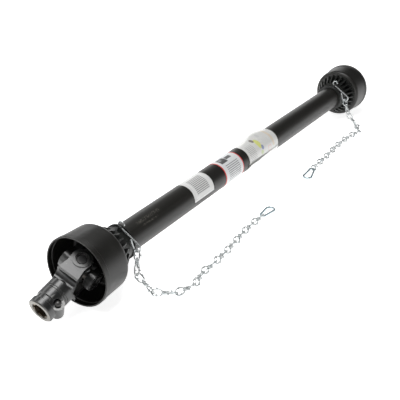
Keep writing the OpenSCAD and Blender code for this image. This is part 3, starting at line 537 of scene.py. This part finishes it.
finishes = {
    "outer_guard_tube": TUBE,
    "inner_guard_tube": TUBE,
    "outer_profile_tube": OILED,
    "inner_profile_tube": OILED,
    "plain_sticker": PLAIN_LABEL,
    "banded_sticker": BANDED_LABEL,
    "leaflet_wrap": LEAFLET,
}
for end, side in (("near", 1), ("far", -1)):
    finishes[end + "_outer_yoke"] = yoke_black(
        f"black_paint_{end}_yoke", CROSS[end], HUB[end], BUTTON[end], BUTTON_WAY[end]
    )
    finishes[end + "_inner_yoke"] = inner_yoke_black(
        f"black_paint_{end}_inner_yoke", CROSS[end], side
    )
    finishes[end + "_cone"] = CONE
    finishes[end + "_collar"] = COLLAR
    finishes[end + "_bearing_ring"] = NYLON
    finishes[end + "_hook"] = ZINC
    finishes[end + "_chain"] = ZINC
    finishes[end + "_snap_hook"] = BLUE_ZINC
    finishes[end + "_snap_gate"] = BLUE_ZINC
    finishes[end + "_roll_pin"] = SPRING_STEEL
    for pins, pin in (("inner", INNER_PIN[end]), ("outer", OUTER_PIN[end])):
        finishes[f"{end}_{pins}_caps"] = cap_black(f"painted_{end}_{pins}_caps", CROSS[end], pin)
    finishes[end + "_inner_rings"] = SPRING_STEEL
    finishes[end + "_outer_rings"] = SPRING_STEEL
    finishes[end + "_cross"] = OILED
    finishes[end + "_nipple"] = ZINC
    finishes[end + "_push_pin"] = SPRING_STEEL
    finishes[end + "_pin_spring"] = ZINC

for name, piece in cad.items():
    material = finishes[name]
    if not piece.data.materials:
        piece.data.materials.append(material)
    for i in range(len(piece.material_slots)):
        piece.material_slots[i].material = material


# Pieces


def piece_of(name, mesh, material, body, replaced=()):
    made = bpy.data.objects.new(name, mesh)
    SCENE.collection.objects.link(made)
    made.data.materials.clear()
    made.data.materials.append(material)
    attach(made, body)
    if replaced:
        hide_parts(*replaced)
    return made


def wrapped_leaflet():
    """Paper in film, wrapped round the tube once with a lap that stands off."""
    across, around = 90, 168
    start, sweep = math.radians(-52), math.radians(404)
    left, right = -0.048, 0.1145
    lap_start, bulge_turn, bulge_place = 0.93, math.radians(124), 0.66
    shape = bmesh.new()
    rows = []
    for i in range(across + 1):
        u = i / across
        row = []
        for j in range(around + 1):
            v = j / around
            turn = start + sweep * v
            x = left + (right - left) * u
            # The second layer lies on the first, and the lap lifts towards its edge
            lift = 0.00025 + 0.00065 * max(0.0, v - 0.86) / 0.14
            lap = max(0.0, v - lap_start) / 0.07
            lift += 0.0042 * lap**1.6 * (0.55 + 0.45 * math.sin(u * 5.2 + 0.6))
            # A bulge on the upper back, where the film stands off the tube
            away = ((turn - bulge_turn) / 0.50) ** 2 + ((u - bulge_place) / 0.26) ** 2
            lift += 0.0082 * math.exp(-away)
            low = noise.noise(Vector((x * 28, turn * 1.7, 0.3)))
            fine = noise.noise(Vector((x * 90, turn * 4.5, 2.0)))
            loose = 0.35 + 0.65 * min(1.0, lift / 0.003)
            lift += (0.00055 * abs(low) + 0.00022 * abs(fine)) * loose
            edge = min(u, 1 - u)
            lift += 0.0005 * max(0.0, 1 - edge / 0.05) * (0.4 + abs(low))
            radius = TUBE_RADIUS + lift
            row.append(
                shape.verts.new(
                    (x, AXIS.y - radius * math.cos(turn), AXIS.z + radius * math.sin(turn))
                )
            )
        rows.append(row)
    for i in range(across):
        for j in range(around):
            shape.faces.new((rows[i][j], rows[i + 1][j], rows[i + 1][j + 1], rows[i][j + 1]))
    bmesh.ops.recalc_face_normals(shape, faces=shape.faces)
    mesh = bpy.data.meshes.new("leaflet_in_film")
    shape.to_mesh(mesh)
    shape.free()
    for polygon in mesh.polygons:
        polygon.use_smooth = True
    made = piece_of("leaflet_in_film", mesh, LEAFLET, "guard_outer", ["leaflet_wrap"])
    thick = made.modifiers.new("paper", "SOLIDIFY")
    thick.thickness, thick.offset = PAPER_THICKNESS, 1


wrapped_leaflet()


# What repeats, grown by Geometry Nodes on points that carry the way they face


class Shapes:
    """A Geometry Nodes tree with named inputs, one value each."""

    def __init__(self, name, sizes):
        self.name, self.sizes = name, sizes
        self.tree = bpy.data.node_groups.new(name, "GeometryNodeTree")
        sockets = self.tree.interface
        sockets.new_socket("Geometry", in_out="INPUT", socket_type="NodeSocketGeometry")
        self.identifiers = {}
        for label, size in sizes.items():
            kind = "NodeSocketInt" if isinstance(size, int) else "NodeSocketFloat"
            socket = sockets.new_socket(label, in_out="INPUT", socket_type=kind)
            self.identifiers[label] = socket.identifier
        paint = sockets.new_socket("Material", in_out="INPUT", socket_type="NodeSocketMaterial")
        self.identifiers["Material"] = paint.identifier
        sockets.new_socket("Geometry", in_out="OUTPUT", socket_type="NodeSocketGeometry")
        self.given = self.tree.nodes.new("NodeGroupInput").outputs
        self.result = self.tree.nodes.new("NodeGroupOutput").inputs

    def node(self, kind, settings=None, values=None):
        """Any node: its type, its settings, then the values or links of its sockets."""
        made = self.tree.nodes.new(kind)
        for setting, value in (settings or {}).items():
            setattr(made, setting, value)
        for socket, value in (values or {}).items():
            if isinstance(value, bpy.types.NodeSocket):
                self.tree.links.new(value, made.inputs[socket])
            else:
                made.inputs[socket].default_value = value
        return made.outputs[0]

    def on_points(self, points, shape, axis, way):
        """The shape on each point, its axis turned to the given way."""
        turn = self.node("FunctionNodeAlignRotationToVector", {"axis": axis}, {"Vector": way})
        values = {"Points": points, "Instance": shape, "Rotation": turn}
        return self.node("GeometryNodeInstanceOnPoints", values=values)

    def on_given(self, shape):
        """The shape on each given point, its Z turned to the point's aim, as the tree's result."""
        settings = {"data_type": "FLOAT_VECTOR"}
        aim = self.node("GeometryNodeInputNamedAttribute", settings, {"Name": "aim"})
        spread = self.on_points(self.given["Geometry"], shape, "Z", aim)
        real = self.node("GeometryNodeRealizeInstances", values={0: spread})
        values = {"Geometry": real, "Material": self.given["Material"]}
        self.tree.links.new(self.node("GeometryNodeSetMaterial", values=values), self.result[0])

    def grow(self, name, body, places, material):
        """Plain mesh of the tree's result on a list of points and ways."""
        points = bpy.data.meshes.new(name + "_points")
        points.from_pydata([place for place, aim in places], [], [])
        aims = points.attributes.new("aim", "FLOAT_VECTOR", "POINT")
        for value, (place, aim) in zip(aims.data, places):
            value.vector = aim
        made = bpy.data.objects.new(name, points)
        SCENE.collection.objects.link(made)
        grower = made.modifiers.new(self.name, "NODES")
        grower.node_group = self.tree
        for label, value in {**self.sizes, "Material": material}.items():
            grower[self.identifiers[label]] = value
        ready = made.evaluated_get(bpy.context.evaluated_depsgraph_get())
        mesh = bpy.data.meshes.new_from_object(ready)
        bpy.data.objects.remove(made)
        return piece_of(name, mesh, material, body)


def stamped_rings():
    """Ring of short raised marks, as pressed into the face of a bearing cap."""
    shapes = Shapes(
        "stamped_ring",
        {
            "Marks": 22,
            "Ring Radius": 0.0076,
            "Mark Length": 0.0013,
            "Mark Width": 0.0010,
            "Mark Height": 0.0007,
        },
    )
    sides = ("Mark Width", "Mark Length", "Mark Height")
    values = {i: shapes.given[label] for i, label in enumerate(sides)}
    size = shapes.node("ShaderNodeCombineXYZ", values=values)
    mark = shapes.node("GeometryNodeMeshCube", values={"Size": size})
    values = {"Vertices": shapes.given["Marks"], "Radius": shapes.given["Ring Radius"]}
    circle = shapes.node("GeometryNodeMeshCircle", values=values)
    outwards = shapes.node("GeometryNodeInputPosition")
    shapes.on_given(shapes.on_points(circle, mark, "X", outwards))
    return shapes


def wire_ends():
    """Cut end of a link's wire, where it leaves the knot in part of a turn."""
    shapes = Shapes(
        "wire_end",
        {
            "Wire Radius": 0.0013,
            "Turns": 0.30,
            "Inner Radius": 0.0028,
            "Outer Radius": 0.0038,
            "Rise": 0.0012,
        },
    )
    turn = shapes.node(
        "GeometryNodeCurveSpiral",
        values={
            "Resolution": 26,
            "Rotations": shapes.given["Turns"],
            "Start Radius": shapes.given["Inner Radius"],
            "End Radius": shapes.given["Outer Radius"],
            "Height": shapes.given["Rise"],
        },
    )
    values = {"Resolution": 12, "Radius": shapes.given["Wire Radius"]}
    ring = shapes.node("GeometryNodeCurvePrimitiveCircle", values=values)
    values = {"Curve": turn, "Profile Curve": ring, "Fill Caps": True}
    wire = shapes.node("GeometryNodeCurveToMesh", values=values)
    smooth = shapes.node("GeometryNodeSetShadeSmooth", values={"Geometry": wire})
    shapes.on_given(smooth)
    return shapes


def loose_parts(mesh):
    """The vertices of each separate part of a mesh, as arrays."""
    shape = bmesh.new()
    shape.from_mesh(mesh)
    seen, parts = set(), []
    for first in shape.verts:
        if first.index in seen:
            continue
        seen.add(first.index)
        part, waiting = [], [first]
        while waiting:
            vertex = waiting.pop()
            part.append(vertex.co[:])
            for edge in vertex.link_edges:
                other = edge.other_vert(vertex)
                if other.index not in seen:
                    seen.add(other.index)
                    waiting.append(other)
        parts.append(np.array(part))
    shape.free()
    return parts


def link_knots(end):
    """The middle of each chain link and the way the link lies."""
    knots = []
    for part in loose_parts(cad[end + "_chain"].data):
        middle = part.mean(axis=0)
        spread = part - middle
        knots.append((Vector(middle), Vector(np.linalg.eigh(spread.T @ spread)[1][:, 2])))
    return knots


STAMP = stamped_rings()
WIRE_END = wire_ends()
for end, half in (("near", "outer"), ("far", "inner")):
    for pins, pin, body in (
        ("inner", INNER_PIN[end], "drive_" + half),
        ("outer", OUTER_PIN[end], end + "_yoke_body"),
    ):
        caps = cad[f"{end}_{pins}_caps"].data.vertices
        face = max((vertex.co - CROSS[end]).dot(pin) for vertex in caps)
        places = [(CROSS[end] + side * face * pin, side * pin) for side in (-1, 1)]
        STAMP.grow(f"{end}_{pins}_cap_marks", body, places, finishes[f"{end}_{pins}_caps"])
    WIRE_END.grow(f"{end}_chain_wire_ends", "guard_" + half, link_knots(end), ZINC)


# Floor and light


def stage_mesh(name, verts, faces, material):
    mesh = bpy.data.meshes.new(name)
    mesh.from_pydata(verts, [], faces)
    made = bpy.data.objects.new(name, mesh)
    made.data.materials.append(material)
    SCENE.collection.objects.link(made)


paper = Finish("studio_paper", roughness=0.9, Specular_IOR_Level=0.1, Emission_Strength=0.85)
paper.shader.inputs["Emission Color"].default_value = (1, 1, 1, 1)
soft = paper.grain(0.8, 3)
paper.colour(paper.mix((0.93, 0.93, 0.93), (0.95, 0.95, 0.95), soft))
corners = [(-1, -1), (1, -1), (1, 1), (-1, 1)]
stage_mesh(
    "studio_floor",
    [(x * FLOOR_HALF, y * FLOOR_HALF, 0) for x, y in corners],
    [(0, 1, 2, 3)],
    paper.material,
)


def soft_box(name, place, target, wide, tall, watts):
    lamp = bpy.data.lights.new(name, "AREA")
    lamp.shape, lamp.size, lamp.size_y = "RECTANGLE", wide, tall
    lamp.energy = watts
    box = bpy.data.objects.new(name, lamp)
    box.location = place
    box.rotation_euler = (Vector(target) - Vector(place)).to_track_quat("-Z", "Y").to_euler()
    SCENE.collection.objects.link(box)


# Each box: its place, the place it shines on, its width, its height and its watts
soft_box("top_light", (-0.55, 0.15, 2.1), (-0.55, 0.1, 0), 1.9, 1.1, 36)
soft_box("back_light", (0.5, 2.6, 1.9), (0.1, 0, 0.1), 3.2, 1.0, 24)
soft_box("far_light", (3.6, 2.3, 0.9), (0.2, 0, 0.1), 3.0, 1.1, 15)
soft_box("left_light", (-2.6, 0.9, 1.1), (-0.6, 0, 0.1), 1.0, 1.2, 9)

# The room is white low down, where it meets the floor, and dimmer higher up
world = bpy.data.worlds.new("studio")
world.use_nodes = True
room = world.node_tree
where = room.nodes.new("ShaderNodeTexCoord")
apart = room.nodes.new("ShaderNodeSeparateXYZ")
height = room.nodes.new("ShaderNodeMapRange")
for socket, value in {"From Min": 0.0, "From Max": 0.16, "To Min": 0.9, "To Max": 0.08}.items():
    height.inputs[socket].default_value = value
room.links.new(where.outputs["Generated"], apart.inputs[0])
room.links.new(apart.outputs["Z"], height.inputs[0])
room.links.new(height.outputs[0], room.nodes["Background"].inputs["Strength"])
room.nodes["Background"].inputs["Color"].default_value = (1, 1, 1, 1)
SCENE.world = world
SCENE.view_settings.view_transform = "Standard"
